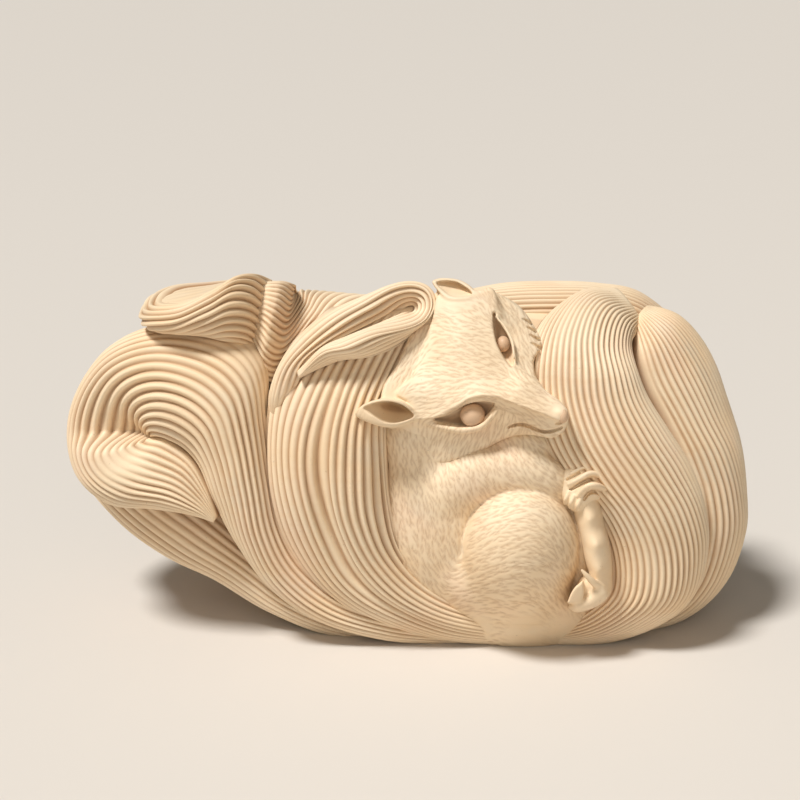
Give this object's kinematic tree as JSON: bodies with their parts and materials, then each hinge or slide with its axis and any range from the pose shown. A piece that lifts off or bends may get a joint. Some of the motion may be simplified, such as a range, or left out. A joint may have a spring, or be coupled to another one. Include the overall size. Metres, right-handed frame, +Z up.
{
  "type": "fox figurine",
  "caption": "Palm-sized carved boxwood figurine of a fox curled up among its ridged, curling tails, with a flat foot to rest on.",
  "frame": {"origin": "middle of the flat foot that the carving rests on", "axes": "+X to the right as the fox is looked at from the front, along the carving's length, +Y to the back, +Z up"},
  "size_m": [0.0815, 0.0405, 0.0427],
  "materials": {
    "boxwood": "matt, fresh from the knife"
  },
  "bodies": {
    "root": {"core": "boxwood", "left_curl_tail": "boxwood", "under_tail": "boxwood", "crown_curl_tail": "boxwood", "shoulder_tail": "boxwood", "side_tail": "boxwood", "brow_tail": "boxwood", "right_band_tail": "boxwood", "outer_tail": "boxwood", "top_tail": "boxwood", "head": "boxwood", "near_ear": "boxwood", "far_ear": "boxwood", "near_eye": "boxwood", "far_eye": "boxwood", "nose": "boxwood", "torso": "boxwood", "shoulder": "boxwood", "haunch": "boxwood", "shank": "boxwood", "hind_paw": "boxwood", "forepaw": "boxwood"}
  },
  "joints": []
}
